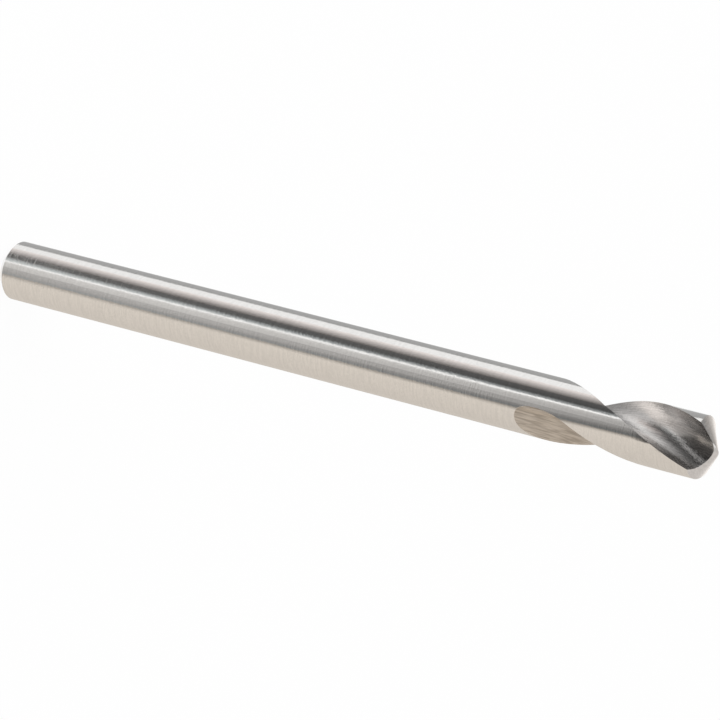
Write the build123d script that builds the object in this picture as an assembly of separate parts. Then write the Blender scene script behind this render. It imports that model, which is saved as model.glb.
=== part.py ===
"""Spotting drill: one bar of high speed steel, ground all over, with two right-hand flutes.

A spotting drill cuts only with its point, so the bar keeps one diameter from end to end: the lands
are full round, with no margin and no body clearance. Each flute is what a grinding wheel leaves
behind when it follows a screw path from the point and then stops. Above the stop the wheel leaves
the same section at every height, turned along the helix. Below it the wheel's own round rim stays
in the steel as the run-out, a long scoop with a blunt end.

Frame: the drill stands on its flat shank end, with the origin at the centre of that face, +Z
along the axis towards the point. +X and +Y only fix where the flutes start. Millimetres, degrees.
"""

from build123d import *

import os
from math import acos, asin, atan2, cos, hypot, radians, sin, tan

# Bar
DIAMETER = 4.7625
OVERALL_LENGTH = 63.5
END_CHAMFER = 0.6

# Ground point: each land is ground as part of a wide cone whose axis stands off the drill's own
# axis. That makes the land fall away behind its lip and leaves a short chisel edge at the centre.
POINT_ANGLE = 120.0
GRIND_OFFSET = 0.45
GRIND_DIRECTION = 28.0

# Flutes: seen from the shank towards the point they turn clockwise, a right-hand screw, so the drill
# cuts right-handed. The wheel's centre stops WHEEL_STOP below the tip; the run-out ends lower down.
FLUTE_COUNT = 2
HELIX_ANGLE = 24.7
WEB_THICKNESS = 0.81
FLUTE_DIRECTION = 26.0
WHEEL_STOP = 11.1

# Grinding wheel: two arcs meet at the rim's top, which cuts the deepest line of the flute. The rake
# side is one arc and cuts the wall that ends in the lip. The heel side is a tighter arc that runs
# on into a straight flank, and cuts the back of the land. The tilt leans the wheel's plane over
# from the drill's axis, and the shift moves the rim's top sideways from it.
WHEEL_RADIUS = 50.0
WHEEL_TILT = 32.4
WHEEL_SHIFT = -0.23
RAKE_ARC_RADIUS = 1.85
RAKE_ARC_ANGLE = 62.0
HEEL_ARC_RADIUS = 0.925
HEEL_FLANK_ANGLE = 57.5
HEEL_FLANK_LENGTH = 1.9

# How finely a flute is followed: steps across the rim, and height between sections
RAKE_ARC_STEPS = 6
HEEL_ARC_STEPS = 4
HEEL_FLANK_STEPS = 4
SECTION_SPACING = 0.7

# Lengths that follow from the sizes above. This far below its centre the stopped wheel is clear of
# the bar, so a flute's lowest section lies there.
RADIUS = DIAMETER / 2
RUN_OUT_REACH = DIAMETER * 1.1
LEAD_PER_RADIAN = RADIUS / tan(radians(HELIX_ANGLE))
POINT_SLOPE = 1 / tan(radians(POINT_ANGLE / 2))
WHEEL_CENTRE_OUT = WEB_THICKNESS / 2 + WHEEL_RADIUS
WHEEL_CENTRE_UP = OVERALL_LENGTH - WHEEL_STOP


def rim_stations():
    """Stations across the wheel's rim, from the end of the rake arc to the end of the heel flank.

    Each is (place along the wheel's axle, depth below the rim's top, slope angle in radians).
    """
    rake_end = -radians(RAKE_ARC_ANGLE)
    heel_end = radians(HEEL_FLANK_ANGLE)
    rake = [on_arc(RAKE_ARC_RADIUS, rake_end * step / RAKE_ARC_STEPS)
            for step in range(RAKE_ARC_STEPS, 0, -1)]
    heel = [on_arc(HEEL_ARC_RADIUS, heel_end * step / HEEL_ARC_STEPS)
            for step in range(HEEL_ARC_STEPS)]
    along, depth, _ = on_arc(HEEL_ARC_RADIUS, heel_end)
    flank = []
    for step in range(HEEL_FLANK_STEPS + 1):
        reach = HEEL_FLANK_LENGTH * step / HEEL_FLANK_STEPS
        flank.append((along + reach * cos(heel_end), depth + reach * sin(heel_end), heel_end))
    return rake + heel + flank


def on_arc(arc_radius, slope):
    """Station on a rim arc, where the rim slopes by the given angle."""
    return arc_radius * sin(slope), arc_radius * (1 - cos(slope)), slope


def rim_parameters(stations):
    """Place of each station along the rim, from 0 to 1, as straight steps between them."""
    steps = [hypot(b[0] - a[0], b[1] - a[1]) for a, b in zip(stations, stations[1:])]
    return [sum(steps[:count]) / sum(steps) for count in range(len(stations))]


def wheel_point(station, turn):
    """Point of the stopped wheel, seen from its centre line: (out, round, up).

    out points from the drill's axis to the wheel, round is square to it, and turn is the angle
    round the wheel's rim, 0 where it is closest to the drill's axis.
    """
    along, depth, _ = station
    rim_radius = WHEEL_RADIUS - depth
    tilt = radians(WHEEL_TILT)
    sideways = rim_radius * sin(turn)
    out = WHEEL_CENTRE_OUT - rim_radius * cos(turn)
    round_ = WHEEL_SHIFT + along * cos(tilt) + sideways * sin(tilt)
    up = WHEEL_CENTRE_UP - along * sin(tilt) + sideways * cos(tilt)
    return out, round_, up


def contact_turn(station):
    """Angle round the rim where the moving wheel touches the finished flute.

    There the rim's normal is square to the screw motion, which gives an equation of the form
    a cos(turn) + b sin(turn) + c = 0.
    """
    along, depth, slope = station
    rim_radius = WHEEL_RADIUS - depth
    tilt = radians(WHEEL_TILT)
    a = (WHEEL_SHIFT + along * cos(tilt)) * cos(slope) - rim_radius * sin(slope) * cos(tilt)
    b = (WHEEL_CENTRE_OUT * sin(tilt) + LEAD_PER_RADIAN * cos(tilt)) * cos(slope)
    c = (WHEEL_CENTRE_OUT * cos(tilt) - LEAD_PER_RADIAN * sin(tilt)) * sin(slope)
    middle = atan2(b, a)
    spread = acos(-c / hypot(a, b))
    return middle - spread


def turn_at_height(station, height):
    """Angle round the rim where the stopped wheel reaches the given height."""
    along, depth, _ = station
    tilt = radians(WHEEL_TILT)
    rise = height - WHEEL_CENTRE_UP + along * sin(tilt)
    return asin(rise / ((WHEEL_RADIUS - depth) * cos(tilt)))


def flute_point(station, height):
    """Point of the flute's surface that one rim station cuts at the given height."""
    out, round_, up = wheel_point(station, contact_turn(station))
    screw = (height - up) / LEAD_PER_RADIAN
    if height < up:
        out, round_, _ = wheel_point(station, turn_at_height(station, height))
        screw = 0.0
    stop_direction = radians(FLUTE_DIRECTION) - WHEEL_STOP / LEAD_PER_RADIAN
    angle = stop_direction + screw + atan2(round_, out)
    reach = hypot(out, round_)
    return reach * cos(angle), reach * sin(angle), height


def flute_section(stations, height):
    """Closed section of the space that the wheel clears at one height."""
    points = [flute_point(station, height) for station in stations]
    outside = Vector(*points[0]) + Vector(*points[-1]) - Vector(0, 0, height)
    wall = Edge.make_spline(points, parameters=rim_parameters(stations))
    closing = Polyline(points[-1], outside, points[0])
    return Wire([wall, *closing.edges()])


def flute_space():
    """Solid that the wheel clears for one flute, from below the run-out to above the point."""
    stations = rim_stations()
    bottom = WHEEL_CENTRE_UP - RUN_OUT_REACH
    top = OVERALL_LENGTH + SECTION_SPACING
    count = round((top - bottom) / SECTION_SPACING)
    heights = [bottom + (top - bottom) * step / count for step in range(count + 1)]
    return Solid.make_loft([flute_section(stations, height) for height in heights])


def bar():
    """Plain round bar with the chamfered shank end."""
    blank = Cylinder(RADIUS, OVERALL_LENGTH, align=(Align.CENTER, Align.CENTER, Align.MIN))
    shank_end = blank.edges().filter_by(GeomType.CIRCLE).sort_by(Axis.Z)[0]
    return chamfer(shank_end, END_CHAMFER)


def land_grind(direction):
    """Cone that one land's flank is part of, with its axis standing off in the given direction."""
    apex = OVERALL_LENGTH + GRIND_OFFSET * POINT_SLOPE
    offset = Vector(GRIND_OFFSET, 0, 0).rotate(Axis.Z, direction)
    cone = Cone(apex / POINT_SLOPE, 0, apex, align=(Align.CENTER, Align.CENTER, Align.MIN))
    return Pos(offset) * cone


def spotting_drill():
    """The whole drill."""
    drill = bar()
    flute = flute_space()
    for index in range(FLUTE_COUNT):
        turn = 360 / FLUTE_COUNT * index
        drill = drill & land_grind(FLUTE_DIRECTION + GRIND_DIRECTION + turn)
    for index in range(FLUTE_COUNT):
        drill = drill - flute.rotate(Axis.Z, 360 / FLUTE_COUNT * index)
    return drill.solid()


os.makedirs("parts", exist_ok=True)
drill = spotting_drill()
drill.label = "spotting_drill"
export_step(drill, "parts/spotting_drill.step")
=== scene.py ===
"""Looks of the spotting drill: ground steel on the part itself, and a plain pale studio round it.

The drill keeps its own mesh. One material finishes it in four zones that its shape gives: the round
shank and lands, the flutes, their run-outs, and the ground point. Each zone shows the grinding marks
of the wheel that made it: round the shank, along the helix in a flute, along the stopped wheel's rim
in a run-out, and round the cones on the point.

Ground steel shows mostly what stands round it, so the studio has a tent of cards that only the steel
sees. Lengths are in millimetres up to where Blender takes metres.
"""

import math
from collections import namedtuple

import bpy
from mathutils import Matrix, Vector


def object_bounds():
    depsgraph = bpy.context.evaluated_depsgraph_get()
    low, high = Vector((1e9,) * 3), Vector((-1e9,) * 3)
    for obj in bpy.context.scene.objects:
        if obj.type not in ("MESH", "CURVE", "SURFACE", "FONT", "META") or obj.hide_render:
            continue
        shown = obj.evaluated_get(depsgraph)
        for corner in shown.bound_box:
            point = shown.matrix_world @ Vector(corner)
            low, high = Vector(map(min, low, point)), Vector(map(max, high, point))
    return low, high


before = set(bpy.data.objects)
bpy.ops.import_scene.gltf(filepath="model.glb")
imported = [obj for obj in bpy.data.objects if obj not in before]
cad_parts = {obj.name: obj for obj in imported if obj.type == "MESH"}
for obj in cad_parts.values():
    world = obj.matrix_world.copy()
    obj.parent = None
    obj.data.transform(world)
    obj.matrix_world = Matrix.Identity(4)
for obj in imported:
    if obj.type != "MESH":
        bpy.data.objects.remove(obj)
CAD_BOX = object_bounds()

bl_info = {
    "name": "Spotting drill",
    "version": (1, 0, 0),
    "blender": (4, 5, 0),
    "location": "3D View > Sidebar > Drill",
    "description": "Ground steel finish and studio for a spotting drill",
    "category": "Object",
}

NODE = "spotting_drill"
MM = 0.001
DRILL_RADIUS = (CAD_BOX[1].x - CAD_BOX[0].x) / 2 / MM
DRILL_LENGTH = CAD_BOX[1].z / MM

# Shape that the marks follow, as the part is ground
HELIX_ANGLE = math.radians(24.7)
WHEEL_TILT = math.radians(32.4)
WHEEL_STOP = 11.1
FLUTE_DIRECTION = math.radians(26.0)
POINT_SLOPE = 1 / math.tan(math.radians(60.0))
GRIND_OFFSET = 0.45
GRIND_DIRECTION = math.radians(54.0)
MM_PER_RADIAN = DRILL_RADIUS / math.tan(HELIX_ANGLE)
STOP_DIRECTION = FLUTE_DIRECTION - WHEEL_STOP / MM_PER_RADIAN
STOP_HEIGHT = DRILL_LENGTH - WHEEL_STOP

# Where the zones begin and are complete. The mesh is flat between its corners, so it lies up to
# 0.007 mm inside the true round and 0.016 mm below the true cones, and still has to count as theirs.
ROUND_BORDER = (DRILL_RADIUS - 0.018, DRILL_RADIUS - 0.009)
POINT_BORDER = (-0.03, -0.015)
CHAMFER_TOP = (0.62, 0.66)
RUN_OUT_TOP = (STOP_HEIGHT - 0.6, STOP_HEIGHT + 1.4)
LAND_START = (44.0, 48.0)

# Grinding marks of each zone. They are layers of noise, each with its share of the whole, its waves
# in a unit of each of the zone's three coordinates, and its detail. The marks are lowest where the
# noise is the spread below a half, and highest where it is the spread above. Height is their share
# of the mark depth. Shade multiplies the zone's colour, and roughness adds to its own roughness:
# each is given where the marks are lowest, and then how much more it is where they are highest.
Layer = namedtuple("Layer", "share waves detail")
Marks = namedtuple("Marks", "layers spread height shade roughness")
ROUND_MARKS = Marks(
    (Layer(0.5, (0.8, 0.8, 7), 1), Layer(0.5, (7, 7, 7), 2)),
    spread=0.18, height=0.65, shade=(0.955, 0.09), roughness=(-0.02, 0.04))
FLUTE_MARKS = Marks(
    (Layer(0.35, (2.6, 2.6, 0.12), 3), Layer(0.45, (11, 11, 0.7), 3), Layer(0.2, (6, 6, 6), 1)),
    spread=0.15, height=1.0, shade=(0.84, 0.30), roughness=(-0.04, 0.08))
RUN_OUT_MARKS = Marks(
    (Layer(1, (14, 0.6, 9), 2),),
    spread=0.16, height=1.1, shade=(0.77, 0.40), roughness=(0.06, 0.10))
POINT_MARKS = Marks(
    (Layer(1, (6, 1, 1), 2),),
    spread=0.2, height=0.35, shade=(0.95, 0.10), roughness=(0, 0.06))
# By how much the lands' marks are less high than the shank's
LANDS_LOWER = 0.4
NOISE_ROUGHNESS = 0.6

# Camera, in millimetres and pixels of a 720 pixel frame. The lens comes from the focal length.
CAMERA_PLACE = (240.53, 0.10, 166.66)
CAMERA_FORWARD = (-0.874117, 0.0, -0.485710)
CAMERA_RIGHT = (-0.470191, -0.250803, 0.846178)
FOCAL_PIXELS = 3613.85
FRAME_PIXELS = 720
SENSOR = 36.0
NEAR_CLIP = 10.0
FAR_CLIP = 20000.0

# Floor and lamp
FLOOR_HALF = 1200.0
LAMP_PLACE = (250.0, -350.0, 700.0)
LAMP_SIZE = 500.0
WHITE = (1, 1, 1, 1)
BLACK = (0, 0, 0, 1)
ROOM_GREY = (0.8, 0.8, 0.8, 1)

# Tints of the cards
NEUTRAL = (1.0, 1.0, 1.0)
SILVER = (1.0, 0.98, 0.96)
CREAM = (1.0, 0.955, 0.92)
COOL = (0.95, 1.0, 1.01)
ROSY = (1.0, 0.935, 0.91)
WARM = (1.0, 0.92, 0.83)
BROWN = (1.0, 0.89, 0.765)

# Tent of cards far round the drill. Each card is given by its name, its first and last direction,
# its lower and upper elevation, how brightly its corners show (low first, low last, high first,
# high last) and its tint. Direction 0 is the camera's side, and elevations are seen from the middle
# of the drill.
TENT_RADIUS = 1500.0
TENT = (
    ("foot_shade", -180, 180, -90, -70, (0.40, 0.40, 0.45, 0.45), NEUTRAL),
    ("low_back_left", -180, -150, -70, -38, (1.0, 0.9, 1.1, 1.0), NEUTRAL),
    ("low_left", -150, -95, -70, -52, (0.30, 0.29, 0.30, 0.29), NEUTRAL),
    ("low_fade", -95, -50, -70, -52, (0.37, 0.70, 0.38, 0.74), SILVER),
    ("low_front", -50, -10, -70, -52, (0.88, 1.50, 1.06, 1.40), CREAM),
    ("low_right", -10, 45, -70, -52, (1.50, 1.1, 1.0, 0.45), CREAM),
    ("low_back", 45, 150, -70, -52, (0.80, 0.75, 0.80, 0.75), WARM),
    ("low_back_right", 150, 180, -70, -38, (0.80, 1.0, 0.76, 1.05), SILVER),
    ("middle_left", -150, -115, -52, -38, (0.28, 0.27, 0.36, 0.38), NEUTRAL),
    ("middle_white", -115, -50, -52, -38, (0.28, 0.88, 0.72, 0.84), NEUTRAL),
    ("middle_front", -50, -15, -52, -38, (1.10, 0.76, 0.70, 0.62), CREAM),
    ("middle_right", -15, 45, -52, -38, (0.70, 0.30, 0.40, 0.25), CREAM),
    ("middle_back", 45, 150, -52, -38, (0.80, 0.72, 0.80, 0.72), WARM),
    ("edge_card", -180, -156, -38, -16, (1.2, 0.48, 1.2, 0.48), NEUTRAL),
    ("grey_card", -156, -114, -38, -16, (0.46, 0.44, 0.46, 0.42), NEUTRAL),
    ("white_card", -114, -86, -38, -22, (1.04, 1.04, 1.06, 1.06), NEUTRAL),
    ("fading_card", -86, -54, -38, -22, (1.00, 0.12, 1.02, 0.12), ROSY),
    ("dark_flag", -54, -40, -38, -30, (0.14, 0.17, 0.13, 0.12), NEUTRAL),
    ("dark_flag_top", -54, -36, -30, -22, (0.12, 0.10, 0.10, 0.07), NEUTRAL),
    ("strip_edge", -40, -25, -38, -30, (0.38, 0.96, 0.14, 0.62), COOL),
    ("strip_edge_top", -36, -22, -30, -22, (0.10, 0.56, 0.05, 0.28), COOL),
    ("strip_light", -25, -20, -38, -30, (1.22, 1.15, 1.36, 1.2), NEUTRAL),
    ("strip_light_top", -22, -18, -30, -22, (1.42, 1.25, 1.5, 1.3), NEUTRAL),
    ("silver_card", -20, 2, -38, -30, (0.83, 0.70, 0.76, 0.58), SILVER),
    ("silver_card_top", -18, 2, -30, -22, (0.74, 0.58, 0.64, 0.42), SILVER),
    ("silver_fade", 2, 22, -38, -22, (0.70, 0.50, 0.40, 0.14), SILVER),
    ("dim_card", 22, 27, -38, -22, (0.48, 0.48, 0.14, 0.16), COOL),
    ("warm_edge", 27, 41, -38, -20, (0.48, 0.88, 0.18, 0.86), WARM),
    ("warm_card", 41, 180, -38, -20, (0.82, 0.67, 0.81, 0.66), WARM),
    ("back_window", -180, -113, -16, -4, (1.5, 1.1, 1.4, 1.1), NEUTRAL),
    ("left_window", -113, -92, -22, -4, (0.98, 0.95, 1.15, 0.80), NEUTRAL),
    ("left_fade", -92, -60, -22, -4, (0.85, 0.20, 0.60, 0.09), NEUTRAL),
    ("left_curtain", -60, -20, -22, -4, (0.16, 0.07, 0.07, 0.06), NEUTRAL),
    ("front_fade", -17, 27, -22, -18, (0.54, 0.22, 0.05, 0.05), SILVER),
    ("front_curtain", -20, 34, -22, -4, (0.05, 0.05, 0.04, 0.05), CREAM),
    ("left_top", -125, -92, -4, 12, (1.1, 0.75, 0.60, 0.45), NEUTRAL),
    ("left_fade_top", -92, -62, -4, 12, (0.55, 0.05, 0.25, 0.03), NEUTRAL),
    ("front_top", -62, 34, -4, 12, (0.05, 0.04, 0.03, 0.03), NEUTRAL),
    ("warm_wall", 34, 61, -20, 34, (0.74, 0.74, 0.74, 0.74), BROWN),
    ("brown_panel", 61, 79, -20, 34, (0.58, 0.58, 0.58, 0.58), BROWN),
    ("warm_wall_far", 79, 112, -20, 34, (0.66, 0.76, 0.66, 0.76), BROWN),
    ("right_wall", 112, 140, 0, 50, (0.72, 0.74, 0.70, 0.72), CREAM),
    ("back_wall_low", 140, 220, 0, 14, (0.80, 0.72, 0.76, 0.64), CREAM),
    ("back_wall", 140, 212, 14, 50, (0.74, 0.46, 0.68, 0.36), CREAM),
    ("back_wall_top", 100, 212, 50, 76, (0.62, 0.62, 0.62, 0.62), SILVER),
    ("left_wall", -148, -72, 12, 50, (0.28, 0.25, 0.28, 0.25), NEUTRAL),
)
# Cards that hang in front of the others: the upper end of the strip light, and a low back window
INNER_RADIUS = 1400.0
INNER_CARDS = (
    ("strip_light_low", -30, -24, -22, -15, (1.0, 1.0, 1.0, 1.0), NEUTRAL),
    ("strip_light_middle", -34, -28, -15, -8, (1.0, 1.0, 1.0, 1.0), NEUTRAL),
    ("strip_light_end", -39, -33, -8, 0, (1.0, 1.0, 0.9, 0.9), NEUTRAL),
    ("low_window", 145, 205, -20, 0, (1.25, 1.25, 1.25, 1.15), CREAM),
)
# Small dark flags close in front of the point. They have soft edges, and heights up the drill in
# place of elevations.
FLAG_RADIUS = 8.0
FLAGS = (
    ("lip_flag", -20, 36, 54.9, 62.0, (0.06, 0.10, 0.04, 0.08), CREAM),
    ("lip_flag_side", 30, 54, 57.0, 62.0, (0.10, 0.13, 0.08, 0.12), CREAM),
)
# A card takes a step for every 3 degrees or millimetres, and at least 6 steps each way
CARD_STEP = 3.0
LEAST_STEPS = 6


class Value:
    """A number or vector that a shader works out, written as a Python expression."""

    def __init__(self, graph, socket):
        self.graph = graph
        self.socket = socket

    def math(self, operation, *others):
        """A Math node on this value and others."""
        return self.graph.math(operation, self, *others)

    def __add__(self, other):
        return self.math("ADD", other)

    __radd__ = __add__

    def __sub__(self, other):
        return self.math("SUBTRACT", other)

    def __rsub__(self, other):
        return self.graph.math("SUBTRACT", other, self)

    def __mul__(self, other):
        return self.math("MULTIPLY", other)

    __rmul__ = __mul__

    def __truediv__(self, other):
        return self.math("DIVIDE", other)

    def __rtruediv__(self, other):
        return self.graph.math("DIVIDE", other, self)


class Graph:
    """The node tree of a material or of the world."""

    def __init__(self, owner):
        owner.use_nodes = True
        self.tree = owner.node_tree
        self.tree.nodes.clear()

    def node(self, kind, settings=None, inputs=None):
        """Adds a node, with its settings first and then the values or links of its sockets."""
        made = self.tree.nodes.new(kind)
        for name, value in (settings or {}).items():
            setattr(made, name, value)
        for key, value in (inputs or {}).items():
            if isinstance(value, Value):
                self.tree.links.new(value.socket, made.inputs[key])
            else:
                made.inputs[key].default_value = value
        return made

    def value(self, kind, settings=None, inputs=None, output=0):
        """Adds a node and gives one of its outputs, by its name or number."""
        return Value(self, self.node(kind, settings, inputs).outputs[output])

    def values(self, kind, settings, inputs, outputs):
        """Adds a node and gives several of its outputs."""
        made = self.node(kind, settings, inputs)
        return [Value(self, made.outputs[output]) for output in outputs]

    def math(self, operation, *terms):
        """A Math node on values or numbers."""
        return self.value("ShaderNodeMath", {"operation": operation}, dict(enumerate(terms)))

    def rise(self, value, start, end):
        """0 below start, 1 above end, smooth between."""
        return self.value(
            "ShaderNodeMapRange",
            {"interpolation_type": "SMOOTHSTEP"},
            {"Value": value, "From Min": start, "From Max": end},
        )

    def vector(self, x, y, z):
        """A vector of three values."""
        return self.value("ShaderNodeCombineXYZ", None, {"X": x, "Y": y, "Z": z})

    def noise(self, place, waves, detail):
        """Noise from 0 to 1, with so many waves in a unit of each of a place's coordinates."""
        waved = self.value(
            "ShaderNodeVectorMath", {"operation": "MULTIPLY"}, {0: place, 1: waves})
        return self.value(
            "ShaderNodeTexNoise",
            None,
            {"Vector": waved, "Scale": 1.0, "Detail": detail, "Roughness": NOISE_ROUGHNESS},
            "Fac",
        )

    def mix(self, share, low, high):
        """Number between low and high."""
        return low + share * (high - low)

    def mix_colours(self, share, low, high):
        """Colour between low and high. The Mix node keeps its colour sockets at 6, 7 and 2."""
        return self.value("ShaderNodeMix", {"data_type": "RGBA"}, {0: share, 6: low, 7: high}, 2)

    def finish(self, shader, kind="ShaderNodeOutputMaterial"):
        """Ends the tree in its output."""
        self.node(kind, None, {"Surface": shader})


class SteelFinish(bpy.types.PropertyGroup):
    """Colours and marks of the ground steel."""

    round_colour: bpy.props.FloatVectorProperty(
        name="Shank", description="Colour of the shank and lands",
        subtype="COLOR", size=3, min=0, max=1, default=(0.79, 0.78, 0.765))
    flute_colour: bpy.props.FloatVectorProperty(
        name="Flutes", description="Colour of the flutes",
        subtype="COLOR", size=3, min=0, max=1, default=(0.66, 0.64, 0.625))
    # The run-outs' colour is the steel's own, warmed by a painted reflection of the brown walls they
    # face, on top of what the brown cards give
    run_out_colour_and_brown_reflection: bpy.props.FloatVectorProperty(
        name="Run-outs", description="Colour where the flutes run out",
        subtype="COLOR", size=3, min=0, max=1, default=(0.585, 0.54, 0.49))
    point_colour: bpy.props.FloatVectorProperty(
        name="Point", description="Colour of the ground point",
        subtype="COLOR", size=3, min=0, max=1, default=(0.76, 0.74, 0.72))
    round_roughness: bpy.props.FloatProperty(
        name="Shank roughness", description="How far the shank spreads a reflection",
        subtype="FACTOR", min=0, max=1, default=0.11)
    flute_roughness: bpy.props.FloatProperty(
        name="Flute roughness", description="How far the flutes and run-outs spread a reflection",
        subtype="FACTOR", min=0, max=1, default=0.23)
    point_roughness: bpy.props.FloatProperty(
        name="Point roughness", description="How far the point spreads a reflection",
        subtype="FACTOR", min=0, max=1, default=0.20)
    mark_depth: bpy.props.FloatProperty(
        name="Mark depth", description="Depth of the grinding marks",
        subtype="DISTANCE", unit="LENGTH", min=0, max=0.0001, precision=6, default=0.000004)


class StudioSettings(bpy.types.PropertyGroup):
    """Floor and light round the drill."""

    floor_colour: bpy.props.FloatVectorProperty(
        name="Floor", description="Colour of the floor",
        subtype="COLOR", size=3, min=0, max=1, default=(0.95, 0.95, 0.95))
    floor_glow: bpy.props.FloatProperty(
        name="White share", description="Share of plain white that the camera sees on the floor",
        subtype="FACTOR", min=0, max=1, default=0.96)
    sky: bpy.props.FloatProperty(
        name="Room light", description="Strength of the light from all round", min=0, max=5,
        default=0.75)
    lamp_power: bpy.props.FloatProperty(
        name="Lamp", description="Power of the soft lamp",
        unit="POWER", min=0, max=100, default=3.0)


def drill_zones(graph):
    """Place on the drill, and how far it counts as round, point, run-out or land."""
    place = graph.value("ShaderNodeTexCoord", None, None, "Object")
    metres = graph.values("ShaderNodeSeparateXYZ", None, {"Vector": place}, "XYZ")
    x, y, z = (length / MM for length in metres)
    radius = graph.math("SQRT", x * x + y * y)
    on_wall = graph.rise(radius, *ROUND_BORDER)
    on_end = 1 - graph.rise(z, *CHAMFER_TOP)
    above_one, above_other = (z - cone_height(graph, x, y, side) for side in (1, -1))
    return {
        "x": x, "y": y, "z": z, "radius": radius,
        "round": on_wall.math("MAXIMUM", on_end),
        "point": graph.rise(above_one.math("MAXIMUM", above_other), *POINT_BORDER),
        "run_out": 1 - graph.rise(z, *RUN_OUT_TOP),
        "land": graph.rise(z, *LAND_START),
    }


def cone_height(graph, x, y, side):
    """Height of the point's cone that stands off to one side, 1 or -1, above a place."""
    from_x = x - side * GRIND_OFFSET * math.cos(GRIND_DIRECTION)
    from_y = y - side * GRIND_OFFSET * math.sin(GRIND_DIRECTION)
    away = graph.math("SQRT", from_x * from_x + from_y * from_y)
    return DRILL_LENGTH + (GRIND_OFFSET - away) * POINT_SLOPE


def turned(at, cosine, sine):
    """Place as seen from a direction: how far out that way, and how far square to it."""
    return at["x"] * cosine + at["y"] * sine, at["y"] * cosine - at["x"] * sine


def helix_place(graph, at):
    """Place that turns with the flutes, so that what is drawn in it runs along the helix."""
    turn = at["z"] / MM_PER_RADIAN
    out, side = turned(at, turn.math("COSINE"), turn.math("SINE"))
    return graph.vector(out, side, at["z"])


def rim_place(graph, at):
    """Place in a run-out: along the stopped wheel's axle, along its rim, and which flute it is."""
    out, side = turned(at, math.cos(STOP_DIRECTION), math.sin(STOP_DIRECTION))
    flute = out.math("SIGN")
    axle = flute * side * math.cos(WHEEL_TILT) - at["z"] * math.sin(WHEEL_TILT)
    rim = flute * side * math.sin(WHEEL_TILT) + at["z"] * math.cos(WHEEL_TILT)
    return graph.vector(axle, rim, flute)


def zone_finish(graph, place, marks, colour, roughness):
    """Colour, height, shade and roughness of one zone, from the marks at a place."""
    first, *others = (graph.noise(place, layer.waves, layer.detail) * layer.share
                      for layer in marks.layers)
    pattern = graph.rise(sum(others, first), 0.5 - marks.spread, 0.5 + marks.spread)
    lowest_shade, more_shade = marks.shade
    lowest_roughness, more_roughness = marks.roughness
    return {
        "colour": (*colour, 1),
        "height": pattern * marks.height,
        "shade": pattern * more_shade + lowest_shade,
        "roughness": pattern * more_roughness + (roughness + lowest_roughness),
    }


def steel_material(finish):
    """Ground steel, finished zone by zone."""
    material = bpy.data.materials.new("ground_steel")
    graph = Graph(material)
    at = drill_zones(graph)
    round_marks = ROUND_MARKS._replace(height=ROUND_MARKS.height - at["land"] * LANDS_LOWER)
    plain = zone_finish(graph, graph.vector(at["x"], at["y"], at["z"]), round_marks,
                        finish.round_colour, finish.round_roughness)
    flute = zone_finish(graph, helix_place(graph, at), FLUTE_MARKS,
                        finish.flute_colour, finish.flute_roughness)
    # The run-outs' warm brown tint is partly a painted reflection of the brown walls round the drill
    run_out = zone_finish(graph, rim_place(graph, at), RUN_OUT_MARKS,
                          finish.run_out_colour_and_brown_reflection, finish.flute_roughness)
    point = zone_finish(graph, graph.vector(at["radius"], at["x"], at["y"]), POINT_MARKS,
                        finish.point_colour, finish.point_roughness)

    def over_drill(quality, mixer):
        """One quality of the steel, blended from zone to zone."""
        hollow = mixer(at["run_out"], flute[quality], run_out[quality])
        body = mixer(at["round"], hollow, plain[quality])
        return mixer(at["point"], body, point[quality])

    colour = graph.value(
        "ShaderNodeVectorMath", {"operation": "SCALE"},
        {0: over_drill("colour", graph.mix_colours), "Scale": over_drill("shade", graph.mix)})
    normal = graph.value(
        "ShaderNodeBump", None,
        {"Strength": 1.0, "Distance": finish.mark_depth,
         "Height": over_drill("height", graph.mix)})
    graph.finish(graph.value(
        "ShaderNodeBsdfPrincipled", None,
        {"Base Color": colour, "Metallic": 1.0,
         "Roughness": over_drill("roughness", graph.mix), "Normal": normal}))
    return material


class DRILL_OT_finish_steel(bpy.types.Operator):
    """Give the drill its ground steel"""

    bl_idname = "drill.finish_steel"
    bl_label = "Finish the steel"

    def execute(self, context):
        material = steel_material(context.scene.drill_steel)
        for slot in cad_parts[NODE].material_slots:
            slot.material = material
        return {"FINISHED"}


def plain_object(name, points, faces):
    """Object of the studio, from corners in metres and faces."""
    mesh = bpy.data.meshes.new(name)
    mesh.from_pydata(points, [], faces)
    mesh.update()
    made = bpy.data.objects.new(name, mesh)
    bpy.context.scene.collection.objects.link(made)
    return made


def lay_floor(studio):
    """Pale floor, mostly plain white to the camera, that keeps the drill's shadow.

    The steel mirrors the tent in its place.
    """
    half = FLOOR_HALF * MM
    corners = [(-half, -half, 0), (half, -half, 0), (half, half, 0), (-half, half, 0)]
    floor = plain_object("floor", corners, [(0, 1, 2, 3)])
    material = bpy.data.materials.new("pale_floor")
    graph = Graph(material)
    camera_ray, clear_ray = graph.values(
        "ShaderNodeLightPath", None, None, ("Is Camera Ray", "Is Transmission Ray"))
    matt = graph.value("ShaderNodeBsdfDiffuse", None, {"Color": (*studio.floor_colour, 1)})
    white = graph.value("ShaderNodeEmission", None, {"Color": WHITE, "Strength": 1.0})
    share = camera_ray.math("MAXIMUM", clear_ray) * studio.floor_glow
    graph.finish(graph.value("ShaderNodeMixShader", None, {0: share, 1: matt, 2: white}))
    floor.data.materials.append(material)
    floor.visible_glossy = False


def tent_place(radius, direction, elevation):
    """Point of the tent, in metres, seen from the drill's middle."""
    turn, tilt = math.radians(direction), math.radians(elevation)
    reach = radius * math.cos(tilt)
    height = radius * math.sin(tilt) + DRILL_LENGTH / 2
    return Vector((reach * math.cos(turn), reach * math.sin(turn), height)) * MM


def flag_place(radius, direction, height):
    """Point at a height on an upright cylinder round the drill, in metres."""
    turn = math.radians(direction)
    return Vector((radius * math.cos(turn), radius * math.sin(turn), height)) * MM


def between(start, end, share):
    """Number a share of the way from start to end."""
    return start + (end - start) * share


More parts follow.
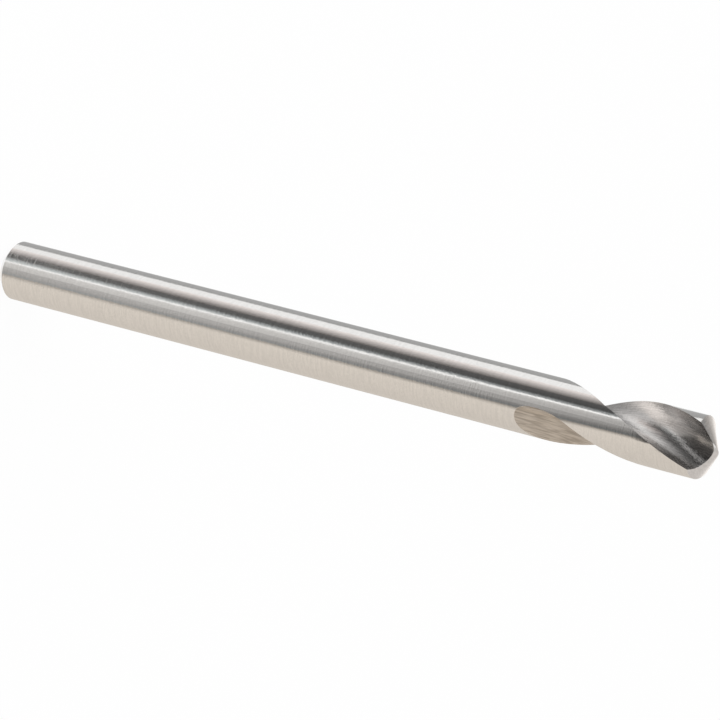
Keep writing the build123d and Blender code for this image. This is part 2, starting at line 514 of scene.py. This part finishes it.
def card_steps(extent):
    """Steps that a card takes over an extent in degrees or millimetres."""
    return max(LEAST_STEPS, round(extent / CARD_STEP))


def card_shade(levels, tint, across, up):
    """Colour of a card at shares of the way across and up, from its corners' levels."""
    foot = between(levels[0], levels[1], across)
    head = between(levels[2], levels[3], across)
    return [between(foot, head, up) * part for part in tint]


def hang_card(card, paint, place, radius, soft_edge=False):
    """Card bent round the drill, that only the steel sees. A soft edge fades to nothing."""
    name, first, last, low, high, levels, tint = card
    columns, rows = card_steps(last - first), card_steps(high - low)
    points, colours = [], []
    for column in range(columns + 1):
        for row in range(rows + 1):
            across, up = column / columns, row / rows
            on_rim = column in (0, columns) or row in (0, rows)
            points.append(place(radius, between(first, last, across), between(low, high, up)))
            colours.append((*card_shade(levels, tint, across, up), 0 if soft_edge and on_rim else 1))
    corners = [column * (rows + 1) + row for column in range(columns) for row in range(rows)]
    faces = [(corner, corner + 1, corner + rows + 2, corner + rows + 1) for corner in corners]
    made = plain_object(name, points, faces)
    shades = made.data.color_attributes.new("shade", "FLOAT_COLOR", "POINT")
    for spot, colour in zip(shades.data, colours):
        spot.color = colour
    made.data.materials.append(paint)
    made.visible_camera = False
    made.visible_diffuse = False
    made.visible_shadow = False


def card_paint():
    """Paint that glows in a card's own shades, and is clear where their alpha is 0."""
    paint = bpy.data.materials.new("card_paint")
    graph = Graph(paint)
    colour, cover = graph.values(
        "ShaderNodeAttribute", {"attribute_name": "shade"}, None, ("Color", "Alpha"))
    graph.finish(graph.value(
        "ShaderNodeBsdfPrincipled", None,
        {"Base Color": BLACK, "Specular IOR Level": 0.0, "Emission Color": colour,
         "Emission Strength": 1.0, "Alpha": cover}))
    return paint


def hang_tent():
    """All the cards and flags that the steel mirrors."""
    paint = card_paint()
    for card in TENT:
        hang_card(card, paint, tent_place, TENT_RADIUS)
    for card in INNER_CARDS:
        hang_card(card, paint, tent_place, INNER_RADIUS)
    for flag in FLAGS:
        hang_card(flag, paint, flag_place, FLAG_RADIUS, soft_edge=True)


def hang_lamp(studio):
    """Soft lamp that looks at the drill's middle. The steel doesn't mirror it."""
    lamp = bpy.data.lights.new("soft_lamp", "AREA")
    lamp.size = LAMP_SIZE * MM
    lamp.energy = studio.lamp_power
    made = bpy.data.objects.new("soft_lamp", lamp)
    bpy.context.scene.collection.objects.link(made)
    made.location = Vector(LAMP_PLACE) * MM
    away = made.location - Vector((0, 0, DRILL_LENGTH / 2)) * MM
    made.rotation_mode = "QUATERNION"
    made.rotation_quaternion = away.to_track_quat("Z", "Y")
    made.visible_glossy = False


def light_room(studio):
    """Even light from all round. The camera and the steel see the room as plain white."""
    world = bpy.data.worlds.new("studio")
    bpy.context.scene.world = world
    graph = Graph(world)
    camera_ray, glossy_ray = graph.values(
        "ShaderNodeLightPath", None, None, ("Is Camera Ray", "Is Glossy Ray"))
    light = graph.value(
        "ShaderNodeBackground", None, {"Color": ROOM_GREY, "Strength": studio.sky})
    white = graph.value("ShaderNodeBackground", None, {"Color": WHITE, "Strength": 1.0})
    share = camera_ray.math("MAXIMUM", glossy_ray)
    mixed = graph.value("ShaderNodeMixShader", None, {0: share, 1: light, 2: white})
    graph.finish(mixed, "ShaderNodeOutputWorld")


def place_camera():
    """Camera at the photo's viewing angle."""
    forward, right = Vector(CAMERA_FORWARD), Vector(CAMERA_RIGHT)
    up = right.cross(forward).normalized()
    turn = Matrix((right.normalized(), up, -forward.normalized())).transposed()
    camera = bpy.data.cameras.new("camera")
    camera.sensor_width = SENSOR
    camera.lens = FOCAL_PIXELS / FRAME_PIXELS * SENSOR
    camera.clip_start = NEAR_CLIP * MM
    camera.clip_end = FAR_CLIP * MM
    made = bpy.data.objects.new("camera", camera)
    made.matrix_world = Matrix.Translation(Vector(CAMERA_PLACE) * MM) @ turn.to_4x4()
    bpy.context.scene.collection.objects.link(made)
    bpy.context.scene.camera = made


class DRILL_OT_build_studio(bpy.types.Operator):
    """Lay the floor, hang the cards and the lamp, light the room and place the camera"""

    bl_idname = "drill.build_studio"
    bl_label = "Build the studio"

    def execute(self, context):
        studio = context.scene.drill_studio
        lay_floor(studio)
        hang_tent()
        hang_lamp(studio)
        light_room(studio)
        place_camera()
        context.scene.view_settings.view_transform = "Standard"
        return {"FINISHED"}


class DRILL_PT_panel(bpy.types.Panel):
    """The drill's finish and studio"""

    bl_idname = "DRILL_PT_panel"
    bl_label = "Spotting drill"
    bl_space_type = "VIEW_3D"
    bl_region_type = "UI"
    bl_category = "Drill"

    def draw(self, context):
        for settings, operator in (
            (context.scene.drill_steel, DRILL_OT_finish_steel),
            (context.scene.drill_studio, DRILL_OT_build_studio),
        ):
            box = self.layout.box()
            for name in settings.__annotations__:
                box.prop(settings, name)
            box.operator(operator.bl_idname)


CLASSES = (
    SteelFinish,
    StudioSettings,
    DRILL_OT_finish_steel,
    DRILL_OT_build_studio,
    DRILL_PT_panel,
)


def register():
    for made in CLASSES:
        bpy.utils.register_class(made)
    bpy.types.Scene.drill_steel = bpy.props.PointerProperty(type=SteelFinish)
    bpy.types.Scene.drill_studio = bpy.props.PointerProperty(type=StudioSettings)


def unregister():
    del bpy.types.Scene.drill_studio
    del bpy.types.Scene.drill_steel
    for made in reversed(CLASSES):
        bpy.utils.unregister_class(made)


def main():
    """Dresses the drill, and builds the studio."""
    register()
    bpy.ops.drill.finish_steel()
    bpy.ops.drill.build_studio()


if __name__ == "__main__":
    main()
